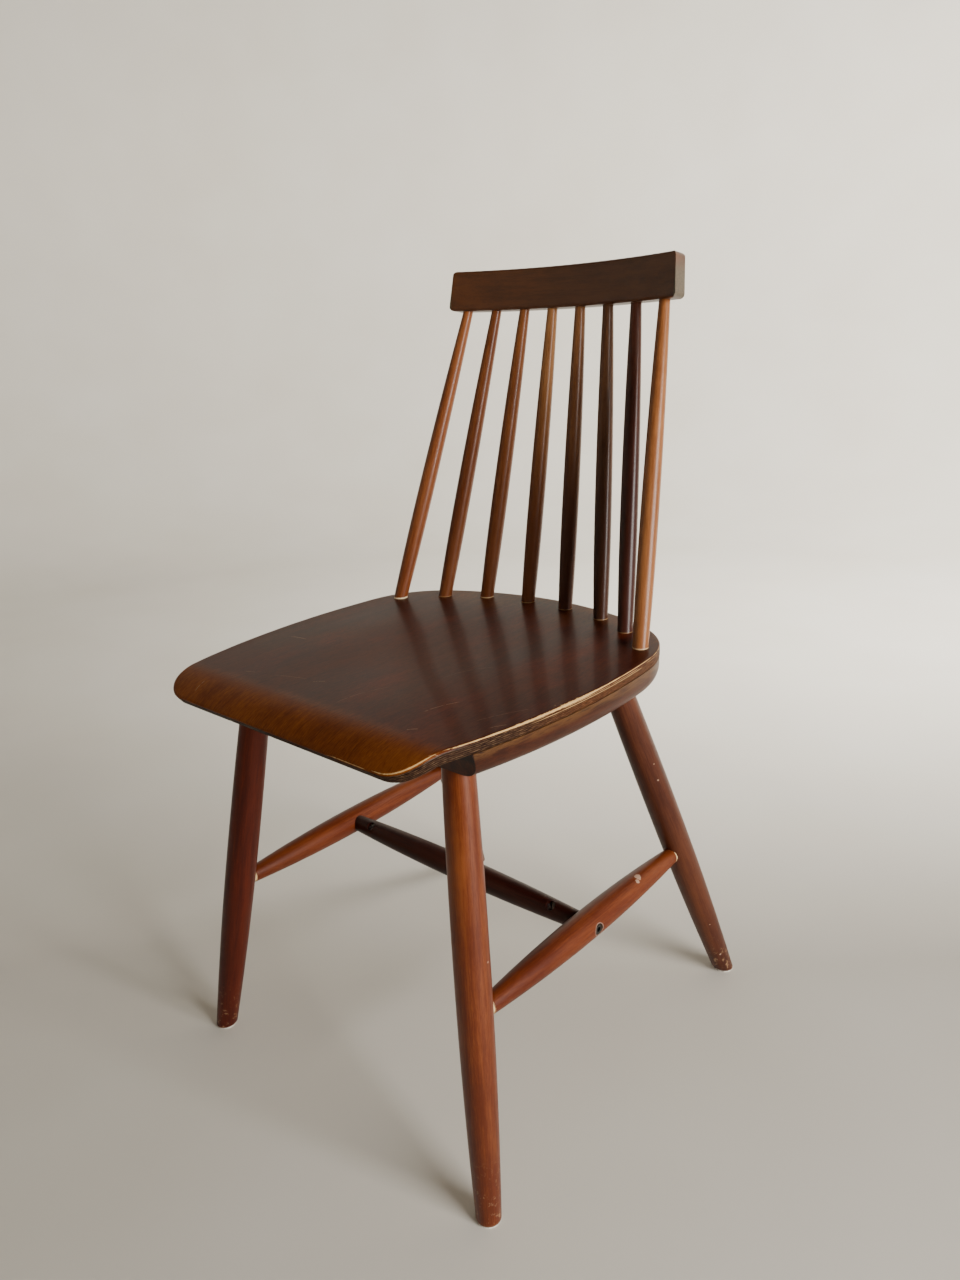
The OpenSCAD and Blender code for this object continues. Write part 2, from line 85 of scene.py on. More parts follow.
class Shader:
    """A material under construction."""

    def __init__(self, name):
        self.material = bpy.data.materials.new(name)
        self.material.use_nodes = True
        self.tree = self.material.node_tree
        self.tree.nodes.clear()
        self.bsdf = self.add("ShaderNodeBsdfPrincipled")
        output = self.add("ShaderNodeOutputMaterial")
        self.tree.links.new(self.bsdf.outputs[0], output.inputs["Surface"])

    def add(self, kind, inputs=None, **settings):
        """A node with its settings and inputs. An input is a number, a colour or another socket."""
        node = self.tree.nodes.new(kind)
        for key, value in settings.items():
            setattr(node, key, value)
        for key, value in (inputs or {}).items():
            self.feed(node.inputs[key], value)
        return node

    def feed(self, socket, value):
        """Links a socket, or sets a number or colour."""
        if isinstance(value, bpy.types.NodeSocket):
            self.tree.links.new(value, socket)
        else:
            socket.default_value = value

    def math(self, operation, a, b=0.0, c=0.0):
        node = self.add("ShaderNodeMath", operation=operation)
        for socket, value in zip(node.inputs, (a, b, c)):
            self.feed(socket, value)
        return node.outputs[0]

    def scaled(self, vector, factors):
        return self.add("ShaderNodeVectorMath", {0: vector, 1: factors}, operation="MULTIPLY").outputs[0]

    def noise(self, vector, scale, detail=3.0, roughness=0.55, distortion=0.0):
        """Cloudy value about 0.5."""
        inputs = {"Vector": vector, "Scale": scale, "Detail": detail,
                  "Roughness": roughness, "Distortion": distortion}
        return self.add("ShaderNodeTexNoise", inputs).outputs["Fac"]

    def step(self, value, low, high, start=0.0, end=1.0):
        """Smooth step of value from start at low to end at high."""
        inputs = {"Value": value, "From Min": low, "From Max": high, "To Min": start, "To Max": end}
        return self.add("ShaderNodeMapRange", inputs, interpolation_type="SMOOTHSTEP").outputs[0]

    def band(self, value, low, high, soft):
        """1 between low and high, fading over soft on both sides."""
        rise = self.step(value, low - soft, low)
        fall = self.step(value, high, high + soft, 1.0, 0.0)
        return self.math("MULTIPLY", rise, fall)

    def ramp(self, value, stops):
        """Colour for a value, from (place, colour) stops."""
        node = self.add("ShaderNodeValToRGB", {"Fac": value})
        elements = node.color_ramp.elements
        for place, _ in stops[2:]:
            elements.new(place)
        for element, (place, colour) in zip(elements, stops):
            element.position = place
            element.color = colour
        return node.outputs["Color"]

    def mix(self, share, a, b):
        """Colour a, with a share of colour b."""
        node = self.add("ShaderNodeMix", data_type="RGBA")
        for socket, value in ((node.inputs[0], share), (node.inputs[6], a), (node.inputs[7], b)):
            self.feed(socket, value)
        return node.outputs[2]

    def split(self, vector):
        return self.add("ShaderNodeSeparateXYZ", {0: vector}).outputs

    def place(self):
        """Position in the row frame, in metres."""
        return self.add("ShaderNodeTexCoord").outputs["Object"]

    def local(self, matrix):
        """Position in the frame that matrix gives."""
        move, turn, _ = matrix.decompose()
        inputs = {"Vector": self.place(), "Location": move, "Rotation": turn.to_euler()}
        return self.add("ShaderNodeMapping", inputs, vector_type="TEXTURE").outputs[0]

    def both(self, a, b):
        """Product of two masks."""
        return self.math("MULTIPLY", a, b)

    def spot(self, place, centre, radius, ragged=0.0):
        """1 within radius of a point, with a ragged outline."""
        node = self.add("ShaderNodeVectorMath", {0: place, 1: centre}, operation="DISTANCE")
        gap = node.outputs["Value"]
        if ragged:
            gap = self.math("MULTIPLY_ADD", self.noise(place, 0.7 / radius, 3, 0.65), ragged * radius, gap)
        return self.step(gap, radius * (0.8 + ragged / 2), radius * (1 + ragged / 2), 1.0, 0.0)

    def attribute(self, name, kind="Fac"):
        return self.add("ShaderNodeAttribute", attribute_name=name).outputs[kind]

    def bump(self, height, distance, strength=1.0):
        inputs = {"Height": height, "Distance": distance, "Strength": strength}
        self.feed(self.bsdf.inputs["Normal"], self.add("ShaderNodeBump", inputs).outputs[0])

    def finish(self, colour, roughness, coat=0.0, coat_roughness=0.2, metallic=0.0, specular=0.4):
        """Sets the surface and gives the finished material."""
        inputs = self.bsdf.inputs
        self.feed(inputs["Base Color"], colour)
        self.feed(inputs["Roughness"], roughness)
        inputs["Metallic"].default_value = metallic
        inputs["Specular IOR Level"].default_value = specular
        inputs["Coat Weight"].default_value = coat
        inputs["Coat Roughness"].default_value = coat_roughness
        return self.material


# ---- wood --------------------------------------------------------------------

BARE = tone("d9b98a")
BARE_DEEP = tone("b98f5c")
GLUE_PALE = tone("e6cda4")
RUBBED = tone("a3805f")
FOOT_RIM = tone("6b4630")
CHIPPED = tone("b3947c")
BOLT_RIM = tone("b8a596")
# Heights between which the rubbed foot and the paler rim at the floor fade out.
RUBBED_HEIGHTS = (4 * MM, 75 * MM)
FOOT_RIM_HEIGHTS = (4.6 * MM, 5.6 * MM)
# How much longer than wide the grain's marks are: the scale along the grain over that across it.
FIBRE_STRETCH = 0.045
FLECK_STRETCH = 0.14
BLOTCH_STRETCH = 0.3


class Grain:
    """Stained beech: fibres, flecks, growth rings and blotches along one axis."""

    def __init__(self, shader, place, along, seed):
        self.shader = shader
        offset = (seed * 0.37, seed * 0.71, seed * 0.53)
        shift = shader.add("ShaderNodeVectorMath", {0: place, 1: offset}, operation="ADD").outputs[0]

        def stretched(factor):
            return shader.scaled(shift, [factor if axis == along else 1.0 for axis in range(3)])

        fibre_space = stretched(FIBRE_STRETCH)
        self.fibres = shader.noise(fibre_space, 900, 4, 0.62)
        self.rings = shader.noise(fibre_space, 150, 3, 0.5, 0.6)
        self.flecks = shader.noise(stretched(FLECK_STRETCH), 1500, 2, 0.5)
        self.blotches = shader.noise(stretched(BLOTCH_STRETCH), 22, 3, 0.55)
        self.peel = shader.noise(place, 420, 2, 0.5)

    def value(self, fibre=0.5, ring=0.5, blotch=0.6, fleck=0.2):
        """Lightness of the stain about 0.5."""
        shader = self.shader
        total = 0.5 - (fibre + ring + blotch + fleck) / 2
        for part, weight in ((self.fibres, fibre), (self.rings, ring),
                             (self.blotches, blotch), (self.flecks, fleck)):
            total = shader.math("MULTIPLY_ADD", part, weight, total)
        return total

    def height(self):
        """Relief of open fibres under the lacquer, and of the lacquer itself."""
        shader = self.shader
        fibres = shader.math("MULTIPLY", self.fibres, 0.6)
        return shader.math("MULTIPLY_ADD", self.peel, 0.7, fibres)

    def gloss(self, base, swing=0.16):
        """Roughness that changes with the wear of the lacquer."""
        blotch = self.shader.math("MULTIPLY_ADD", self.blotches, swing, base - swing / 2)
        return self.shader.math("MULTIPLY_ADD", self.fibres, swing * 0.6, blotch)


def stain(shader, value, dark, light):
    """Stain colour from dark to light over the grain's value."""
    middle = [(a + b) / 2 for a, b in zip(dark, light)]
    deep = (dark[0] * 0.55, dark[1] * 0.5, dark[2] * 0.5, 1.0)
    return shader.ramp(value, [(0.12, deep), (0.4, dark), (0.58, middle), (0.85, light)])


def nicks(shader, place, scale, amount, stretch=(1.0, 1.0, 0.35)):
    """Scattered small marks, from 0 to 1."""
    cells = shader.add("ShaderNodeTexVoronoi", {"Vector": shader.scaled(place, stretch), "Scale": scale})
    near = shader.step(cells.outputs["Distance"], 0.0, 0.09, 1.0, 0.0)
    chosen = shader.step(shader.split(cells.outputs["Color"])[0], 1 - amount, 1 - amount + 0.02)
    ragged = shader.step(shader.noise(place, scale * 9, 2), 0.42, 0.55)
    return shader.math("MULTIPLY", shader.math("MULTIPLY", near, chosen), ragged)


def scuffed_foot(shader, colour, roughness, grain, place, height, scuff):
    """Lacquer rubbed off near the floor, and a paler rim right at it."""
    low = shader.step(height, *RUBBED_HEIGHTS, scuff, 0.0)
    worn = shader.step(shader.noise(place, 210, 4, 0.65), 0.56, 0.66)
    rubbed = shader.both(low, worn)
    colour = shader.mix(rubbed, colour, RUBBED)
    ragged = shader.math("MULTIPLY_ADD", grain.flecks, 2.0 * MM, height)
    colour = shader.mix(shader.step(ragged, *FOOT_RIM_HEIGHTS, 0.8, 0.0), colour, FOOT_RIM)
    return colour, shader.math("MULTIPLY_ADD", rubbed, 0.3, roughness)


def turned_wood(name, node, dark, light, seed, smudge=0.5, shade=None, scuff=0.0, coat=0.05,
                spots=(), bare=None):
    """Stained turned bar. smudge darkens it in patches. shade = (low, high, share) paints shade on it:
    it darkens the bar below high, most of all below low. scuff is the wear near the floor, spots are
    chips in the lacquer as (place, radius), and bare paints where the stain didn't reach."""
    shader = Shader(name)
    matrix, half = bar_frame(node)
    place = shader.local(matrix)
    row_place = shader.place()
    world = shader.split(row_place)
    grain = Grain(shader, place, 2, seed)
    colour = stain(shader, grain.value(), dark, light)
    deep = (dark[0] * 0.5, dark[1] * 0.32, dark[2] * 0.25, 1.0)
    patches = shader.step(shader.noise(shader.scaled(place, (1, 1, 0.25)), 30, 3, 0.6), 0.45, 0.75)
    colour = shader.mix(shader.math("MULTIPLY", patches, smudge), colour, deep)
    # Painted shade: darker towards the bottom of the bar, fully below low and gone above high.
    if shade:
        low, high, share = shade
        colour = shader.mix(shader.step(world[2], low, high, share, 0.0), colour, deep)
    marks = nicks(shader, place, 70, 0.12)
    colour = shader.mix(shader.math("MULTIPLY", marks, 0.5), colour, BARE_DEEP)
    roughness = grain.gloss(0.38)
    if scuff:
        colour, roughness = scuffed_foot(shader, colour, roughness, grain, place, world[2], scuff)
    for centre, radius in spots:
        chip = shader.math("MULTIPLY", shader.spot(row_place, centre, radius, 1.2), 0.75)
        colour = shader.mix(chip, colour, CHIPPED)
    if bare:
        colour = bare(shader, colour, place, world, half)
    shader.bump(grain.height(), 0.12 * MM, 0.6)
    return shader.finish(colour, roughness, coat=coat, coat_roughness=0.18, specular=0.2)


def foot_ring(height, strength):
    """Pale ring of bare wood and old glue where a spindle enters the seat."""

    def paint(shader, colour, place, world, half):
        wobble = shader.noise(place, 190, 2)
        top = shader.math("MULTIPLY_ADD", wobble, 2.2 * strength * MM, height)
        ring = shader.math("SUBTRACT", world[2], top)
        share = shader.step(ring, -0.2 * MM, 0.5 * MM, 0.35 + 0.65 * strength, 0.0)
        return shader.mix(share, colour, shader.mix(strength, BARE_DEEP, GLUE_PALE))

    return paint


# A side stretcher's tenon from end to shoulder, how far the stain stops short of the shoulder
# at both ends, how much further at the rear, and the worn rim round the bolt's hole.
TENON = 19.05 * MM
STAIN_GAP = 0.55 * MM
REAR_GAP = 1.3 * MM
RIM_INSIDE, RIM_OUTSIDE = 5.6 * MM, 6.6 * MM


def bare_tenons(shader, colour, place, world, half):
    """The unstained ends of a side stretcher, and the worn rim of its bolt hole."""
    along = shader.split(place)[2]
    behind = shader.step(along, 0.0, 1 * MM, 0.0, REAR_GAP)
    reach = shader.math("ADD", shader.math("ABSOLUTE", along), behind)
    wobble = shader.math("MULTIPLY_ADD", shader.noise(place, 300, 2), 0.8 * MM, half - TENON - STAIN_GAP)
    share = shader.step(shader.math("SUBTRACT", reach, wobble), -0.1 * MM, 0.25 * MM)
    colour = shader.mix(share, colour, BARE)
    low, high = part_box("connector_bolt_left")
    _, y, z = world
    dy = shader.math("SUBTRACT", y, (low.y + high.y) / 2)
    dz = shader.math("SUBTRACT", z, (low.z + high.z) / 2)
    gap = shader.math("SQRT", shader.math("MULTIPLY_ADD", dy, dy, shader.both(dz, dz)))
    rim = shader.band(gap, RIM_INSIDE, RIM_OUTSIDE, 0.4 * MM)
    return shader.mix(shader.math("MULTIPLY", rim, 0.35), colour, BOLT_RIM)


# ---- seat board --------------------------------------------------------------

# The sheet is a hair thinner than the board, so that the spindles' tenons show flush below it.
UNDER_GAP = 0.04 * MM
PLY = 11 * MM - UNDER_GAP
PLIES = 7
# The seat's tilt, the roll of its front, and the arcs of its outline, as in the board.
TILT = math.radians(0.7)
ROLL_RADIUS = 68 * MM
ROLL_ANGLE = math.radians(38)
REAR_EDGE_RADIUS = 300 * MM
SIDE_EDGE_RADIUS = 710 * MM
REAR_CORNER_RADIUS = 104 * MM
FRONT_CORNER_RADIUS = 32 * MM
WIDEST_Y = -22.75 * MM
SIDE_ARC = np.array([SEAT_HALF - SIDE_EDGE_RADIUS, WIDEST_Y])
REAR_ARC = np.array([0.0, SEAT_BACK - REAR_EDGE_RADIUS])
ROLL_DROP = ROLL_RADIUS * (1 - math.cos(ROLL_ANGLE))
SEAT_DEPTH = SEAT_BACK - SEAT_FRONT
ROLL_REACH = ROLL_RADIUS * math.sin(ROLL_ANGLE)
ROLL_START = (-SEAT_DEPTH - ROLL_DROP * math.sin(TILT)) / math.cos(TILT) + ROLL_REACH
SHEET_FRONT = ROLL_START - ROLL_RADIUS * ROLL_ANGLE


def meeting_point(a, p, b, q):
    """Point at distances p and q from a and b, on the left of a to b."""
    gap = np.linalg.norm(b - a)
    ahead = (b - a) / gap
    s = (p * p - q * q + gap * gap) / (2 * gap)
    return a + s * ahead + math.sqrt(p * p - s * s) * np.array([-ahead[1], ahead[0]])


def sheet_run(y):
    """Distance along the sheet from its rear edge, negative forwards, of plan position y."""
    flat = (y - SEAT_BACK) / math.cos(TILT)
    share = np.clip((ROLL_START - flat) / ROLL_RADIUS, 0, math.sin(ROLL_ANGLE))
    return np.where(flat > ROLL_START, flat, ROLL_START - ROLL_RADIUS * np.arcsin(share))


def arc(centre, radius, start, end, count):
    """Points along an arc."""
    angles = np.linspace(start, end, count)
    return centre + radius * np.stack([np.cos(angles), np.sin(angles)], 1)


def seat_outline(count):
    """The sheet's outline laid flat, evenly spaced, anticlockwise from the middle of the rear edge."""
    corner = meeting_point(SIDE_ARC, SIDE_EDGE_RADIUS - REAR_CORNER_RADIUS,
                           REAR_ARC, REAR_EDGE_RADIUS - REAR_CORNER_RADIUS)
    on_rear = math.atan2(*(corner - REAR_ARC)[::-1])
    on_side = math.atan2(*(corner - SIDE_ARC)[::-1])
    front_v = SHEET_FRONT + FRONT_CORNER_RADIUS
    front_y = SEAT_BACK + ROLL_START - ROLL_RADIUS * math.sin((ROLL_START - front_v) / ROLL_RADIUS)
    reach = SIDE_EDGE_RADIUS - FRONT_CORNER_RADIUS
    front_x = SIDE_ARC[0] + math.sqrt(reach ** 2 - (front_y - WIDEST_Y) ** 2)
    leave = math.atan2(front_y - WIDEST_Y, front_x - SIDE_ARC[0])
    plan = np.concatenate([
        arc(REAR_ARC, REAR_EDGE_RADIUS, math.pi / 2, on_rear, 200),
        arc(corner, REAR_CORNER_RADIUS, on_rear, on_side, 200),
        arc(SIDE_ARC, SIDE_EDGE_RADIUS, on_side, leave, 400),
    ])
    plan[:, 1] = sheet_run(plan[:, 1])
    front = arc(np.array([front_x, front_v]), FRONT_CORNER_RADIUS, leave, -math.pi / 2, 120)
    half = np.concatenate([plan, front, [[0, SHEET_FRONT]]])
    whole = np.concatenate([half, (half * [-1, 1])[-2:0:-1]])
    closed = np.concatenate([whole, whole[:1]])
    run = np.concatenate([[0], np.cumsum(np.linalg.norm(np.diff(closed, axis=0), axis=1))])
    places = np.linspace(0, run[-1], count, endpoint=False)
    return np.stack([np.interp(places, run, closed[:, i]) for i in (0, 1)], 1), places


DISH_DEPTH = 2.4 * MM
DISH_MIDDLE = -0.52 * SEAT_DEPTH
DISH_HALF_WIDTH = 0.62 * SEAT_HALF
DISH_HALF_LENGTH = 0.46 * SEAT_DEPTH


def dish(u, v):
    """How far the sheet is pressed down, most in its middle."""
    across = np.clip(1 - (u / DISH_HALF_WIDTH) ** 2, 0, 1) ** 2
    ahead = np.clip(1 - ((v - DISH_MIDDLE) / DISH_HALF_LENGTH) ** 2, 0, 1) ** 2
    return DISH_DEPTH * across * ahead


def bend(u, v, w):
    """Place in the row frame of the flat sheet's point, w below its top face."""
    turn = np.clip((ROLL_START - v) / ROLL_RADIUS, 0, None)
    rolled = v < ROLL_START
    w = w + dish(u, v)
    y = np.where(rolled, ROLL_START - (ROLL_RADIUS - w) * np.sin(turn), v)
    z = np.where(rolled, (ROLL_RADIUS - w) * np.cos(turn) - ROLL_RADIUS, -w)
    return np.stack([
        u,
        SEAT_BACK + y * math.cos(TILT) - z * math.sin(TILT),
        SEAT_TOP + y * math.sin(TILT) + z * math.cos(TILT),
    ], -1)


def ripple(x, longest, count, seed):
    """Smooth random curve between about -1 and 1, from waves of fixed random phase."""
    rng = np.random.default_rng(seed)
    total = np.zeros_like(x)
    for i in range(count):
        wave = longest / 1.7 ** i
        total += np.sin(2 * math.pi * x / wave + rng.uniform(0, 2 * math.pi)) * 0.75 ** i
    return total / sum(0.75 ** i for i in range(count))


# Points round the edge, steps over an arris, and the face's rings as shares of the outline.
RIM_POINTS = 840
ARRIS_STEPS = 7
FACE_SHARES = np.concatenate([np.linspace(0.978, 0.76, 16), np.linspace(0.7, 0.06, 12)])
SEAT_CENTRE = np.array([0.0, SHEET_FRONT / 2])
# The top arris is rounder at the front corners, from CORNER_BEHIND behind the roll's start
# forwards and from CORNER_OUT outwards, each growing over its own reach.
CORNER_BEHIND, CORNER_AHEAD_REACH = 20 * MM, 50 * MM
CORNER_OUT, CORNER_OUT_REACH = 115 * MM, 40 * MM
# Depths of the grooves in the ends of the plies, deep and shallow by turns.
DEEP_GROOVE, SHALLOW_GROOVE = 0.16 * MM, 0.03 * MM


def fade(value, start, reach):
    """0 up to start, growing to 1 over reach."""
    return np.clip((value - start) / reach, 0, 1)


def inward_of(outline):
    """Unit vectors across the outline that point into the sheet."""
    tangent = np.roll(outline, -1, 0) - np.roll(outline, 1, 0)
    tangent /= np.linalg.norm(tangent, axis=1)[:, None]
    inward = np.stack([tangent[:, 1], -tangent[:, 0]], 1)
    return inward * np.sign(((SEAT_CENTRE - outline) * inward).sum(1))[:, None]


def arris_radii(outline, run, worn):
    """Radii of the top and the bottom arris all round."""
    at_front = fade(-outline[:, 1], -ROLL_START - CORNER_BEHIND, CORNER_AHEAD_REACH)
    at_corner = at_front * fade(np.abs(outline[:, 0]), CORNER_OUT, CORNER_OUT_REACH)
    top = (1.5 + 1.3 * worn + 2.4 * at_corner) * MM
    low = (1.0 + 0.6 * (0.5 + 0.5 * ripple(run, 0.2, 6, 5))) * MM
    return top, low


def edge_rings(outline, run, worn):
    """Rings round the edge, from the top face down: a rounded arris, the grooved ends of the
    plies, and a chipped bottom arris."""
    inward = inward_of(outline)
    top_round, low_round = arris_radii(outline, run, worn)
    arcs = np.linspace(0, math.pi / 2, ARRIS_STEPS)
    chips = np.clip(ripple(run, 0.05, 6, 11) - 0.62, 0, 1) * 2.2 * MM
    layer = PLY / PLIES
    rings = []

    def ring(inset, depth):
        flat = outline + inward * inset[:, None]
        rings.append((flat[:, 0], flat[:, 1], depth))

    for a in arcs:
        ring(top_round * (1 - math.sin(a)), top_round * (1 - math.cos(a)))
    for k in range(PLIES):
        groove = DEEP_GROOVE if k % 2 else SHALLOW_GROOVE
        uneven = 1 + 0.6 * ripple(run, 0.03, 5, 20 + k)
        for part, dip in ((0.12, 0.0), (0.5, 1.0), (0.88, 0.0)):
            depth = np.maximum((k + part) * layer, top_round + 0.02 * MM * (k + part))
            depth = np.minimum(depth, PLY - low_round - 0.02 * MM * (PLIES - k - part))
            chipped = max(0.0, (k + part - PLIES + 1.6) / 1.6)
            ring(dip * groove * uneven + chips * chipped, depth)
    for a in arcs[1::2]:
        inset = low_round * (1 - math.cos(a)) + chips * (1 - a / 2)
        ring(inset, PLY - low_round * (1 - math.sin(a)))
    return rings


def face_rings(outline, depth):
    """Rings of a flat face, from the outline inwards."""
    rings = []
    for share in FACE_SHARES:
        flat = SEAT_CENTRE + (outline - SEAT_CENTRE) * share
        rings.append((flat[:, 0], flat[:, 1], np.full(len(flat), depth)))
    return rings


def skin(rows, columns):
    """Faces between the rings, and fans to the middle points of the top and the underside."""
    faces = []
    for i in range(rows - 1):
        for j in range(columns):
            k = (j + 1) % columns
            faces.append((i * columns + j, (i + 1) * columns + j, (i + 1) * columns + k, i * columns + k))
    top_point, low_point = rows * columns, rows * columns + 1
    last = (rows - 1) * columns
    for j in range(columns):
        k = (j + 1) % columns
        faces.append((top_point, j, k))
        faces.append((low_point, last + k, last + j))
    return faces


def bare_arris(outline, depths, worn):
    """How bare each point of the edge's rings is, in a band along the top arris."""
    wear = wear_share(outline)
    wide = wear * (0.55 + 0.9 * worn)
    there = np.clip(wear * 8, 0, 1)
    bare = np.zeros_like(depths)
    first = len(FACE_SHARES) - 2
    last = len(depths) - len(FACE_SHARES)
    for i in range(first, last):
        off = np.abs(depths[i] / MM - 0.5 - 0.45 * wide)
        bare[i] = np.clip(1.15 - off / (0.1 + wide), 0, 1) * there
    return bare


def store(mesh, name, kind, key, values):
    """Adds an attribute to the mesh's points."""
    layer = mesh.attributes.new(name, kind, "POINT")
    layer.data.foreach_set(key, values.astype(np.float32).ravel())


def build_seat():
    """The moulded sheet, with its flat place, run round the rim and bareness as attributes."""
    outline, run = seat_outline(RIM_POINTS)
    worn = 0.5 + 0.5 * ripple(run, 0.31, 7, 3)
    stack = face_rings(outline, 0.0)[::-1] + edge_rings(outline, run, worn) + face_rings(outline, PLY)
    u, v, w = (np.stack([r[i] for r in stack]) for i in range(3))
    rows, columns = u.shape
    middles = np.array([[*SEAT_CENTRE, 0.0], [*SEAT_CENTRE, PLY]])
    sheet = np.concatenate([np.stack([u, v, w], -1).reshape(-1, 3), middles])
    mesh = bpy.data.meshes.new("seat_sheet")
    mesh.from_pydata(bend(*sheet.T).tolist(), [], skin(rows, columns))
    bare = bare_arris(outline, w, worn)
    store(mesh, "sheet", "FLOAT_VECTOR", "vector", sheet)
    store(mesh, "rim", "FLOAT", "value", np.concatenate([np.tile(run, rows), [0.0, 0.0]]))
    store(mesh, "bare", "FLOAT", "value", np.concatenate([bare.ravel(), [0.0, 0.0]]))
    seat = bpy.data.objects.new("seat_sheet", mesh)
    bpy.context.scene.collection.objects.link(seat)
    smooth(seat, 50)
    return seat


# Wear of the left arris at places from the front to the back of the seat.
WEAR_PLACES = np.array([-240, -215, -185, -140, -60, 10, 60, 120, 165]) * MM
WEAR_SHARES = np.array([0.12, 0.14, 0.4, 1.0, 0.85, 0.2, 0.1, 0.06, 0.0])


def wear_share(outline):
    """How worn the top arris is round the seat, from 0 to 1: the left side is worn most."""
    x, y = outline[:, 0], outline[:, 1] + SEAT_BACK
    left = np.interp(y, WEAR_PLACES, WEAR_SHARES) * fade(x, 100 * MM, 30 * MM)
    front = 0.16 * fade(x, 60 * MM, 30 * MM) * fade(-y, 200 * MM, 20 * MM)
    behind = 0.1 * fade(-np.abs(x + 100 * MM), -20 * MM, 10 * MM) * fade(y, 100 * MM, 20 * MM)
    return np.maximum(np.maximum(left, front), behind)


def smooth(thing, degrees):
    """Smooth shading with the creases over an angle kept sharp."""
    mesh = thing.data
    mesh.polygons.foreach_set("use_smooth", [True] * len(mesh.polygons))
    mesh.set_sharp_from_angle(angle=math.radians(degrees))


ROLL_TONES = (tone("5a2b0d"), tone("8a4c1a"))
TOP_TONES = (tone("33120a"), tone("522513"))
WARM_TONES = (tone("42130a"), tone("6b2c14"))
REAR_TONES = (tone("4a210c"), tone("754216"))
SCRATCHED = tone("a0795a")
CHIPPED_PLY = tone("d8b47a")
# Depths between which the face gives way to the ends of the plies, and the places along the
# sheet between which the lighter rear stain, the roll's stain and the front chips fade.
FACE_DEPTHS = (1.4 * MM, 2.0 * MM)
REAR_STAIN = (-75 * MM, -20 * MM)
ROLL_STAIN = (ROLL_START - 6 * MM, ROLL_START + 24 * MM)
FRONT_CHIPS = (SHEET_FRONT + 8 * MM, SHEET_FRONT + 26 * MM)


def seat_material():
    """Dark brown lacquer on top, orange-brown over the roll and by the rear edge."""
    shader = Shader("seat_lacquer")
    sheet = shader.attribute("sheet", "Vector")
    u, v, w = shader.split(sheet)
    grain = Grain(shader, sheet, 1, 1.3)
    value = grain.value(0.5, 0.2, 0.45, 0.5)
    cloud = shader.math("MULTIPLY_ADD", grain.blotches, 26 * MM, v)
    colour = stain(shader, value, *TOP_TONES)
    behind = shader.step(cloud, *REAR_STAIN, 0.0, 0.8)
    colour = shader.mix(behind, colour, stain(shader, value, *REAR_TONES))
    warm = shader.step(shader.noise(shader.scaled(sheet, (1, 0.6, 1)), 11, 3, 0.6), 0.46, 0.68, 0.0, 0.7)
    colour = shader.mix(warm, colour, stain(shader, value, *WARM_TONES))
    roll = shader.step(cloud, *ROLL_STAIN, 1.0, 0.0)
    colour = shader.mix(roll, colour, stain(shader, value, *ROLL_TONES))
    edge = shader.step(w, *FACE_DEPTHS)
    face = shader.math("SUBTRACT", 1.0, edge)
    colour = shader.mix(edge, colour, ply_colour(shader, u, v, w))
    colour = shader.mix(shader.both(scratches(shader, u, v), face), colour, SCRATCHED)
    torn = shader.noise(shader.scaled(sheet, (1, 0.5, 1)), 420, 4, 0.65)
    chip = nicks(shader, shader.scaled(sheet, (1, 1, 0.4)), 34, 0.3, (1, 1, 1))
    chip = shader.both(chip, shader.step(v, *FRONT_CHIPS, 1.0, 0.0))
    level = shader.math("MULTIPLY_ADD", torn, 0.9, shader.attribute("bare"))
    chip = shader.math("MULTIPLY", shader.both(chip, face), 0.7)
    share = shader.math("MAXIMUM", shader.step(level, 0.86, 1.0), chip)
    colour = shader.mix(share, colour, shader.mix(torn, BARE_DEEP, CHIPPED_PLY))
    matt = shader.math("MAXIMUM", edge, share)
    roughness = shader.math("MULTIPLY_ADD", matt, 0.3, grain.gloss(0.34, 0.12))
    shader.bump(grain.height(), 0.07 * MM, 0.4)
    return shader.finish(colour, roughness, coat=0.07, coat_roughness=0.1, specular=0.04)


PLY_STOPS = [(0.4, tone("120a07")), (0.54, tone("2b1a12")), (0.66, tone("4f3a29")), (0.76, tone("7d6248"))]
PLY_BROWNS = [(0.4, tone("3a1f10")), (0.65, tone("6b4023"))]
GLUE_LINE = tone("cba877")
# Places along the sheet between which the plies turn brown, and where their glue lines are worn.
BROWN_PLIES = (-330 * MM, -210 * MM)
WORN_PLIES = (-265 * MM, -110 * MM)


def ply_colour(shader, u, v, w):
    """Stained ends of the plies: dark with short pale streaks, and glue lines worn pale
    along the middle of the left side."""
    layer = shader.math("MULTIPLY", w, math.pi * PLIES / PLY)
    wave = shader.math("SINE", layer)
    wave = shader.both(wave, wave)
    rim = shader.attribute("rim")
    long = shader.math("MULTIPLY", rim, 0.5)
    line = shader.add("ShaderNodeCombineXYZ", {0: long, 1: shader.math("MULTIPLY", w, 7.0)}).outputs[0]
    dashes = shader.noise(line, 260, 4, 0.68)
    value = shader.math("MULTIPLY_ADD", wave, 0.16, shader.math("MULTIPLY", dashes, 0.92))
    colour = shader.ramp(value, PLY_STOPS)
    brown = shader.step(v, *BROWN_PLIES, 0.0, 0.6)
    colour = shader.mix(brown, colour, shader.ramp(dashes, PLY_BROWNS))
    on_left = shader.step(u, 140 * MM, 160 * MM)
    worn = shader.both(shader.band(v, *WORN_PLIES, 30 * MM), on_left)
    thin = shader.step(wave, 0.72, 0.92)
    broken = shader.step(shader.noise(line, 60, 3, 0.6), 0.42, 0.55)
    high = shader.step(w, 4.2 * MM, 5.4 * MM, 1.0, 0.0)
    share = shader.both(shader.both(worn, thin), shader.both(broken, high))
    return shader.mix(shader.math("MULTIPLY", share, 0.75), colour, GLUE_LINE)


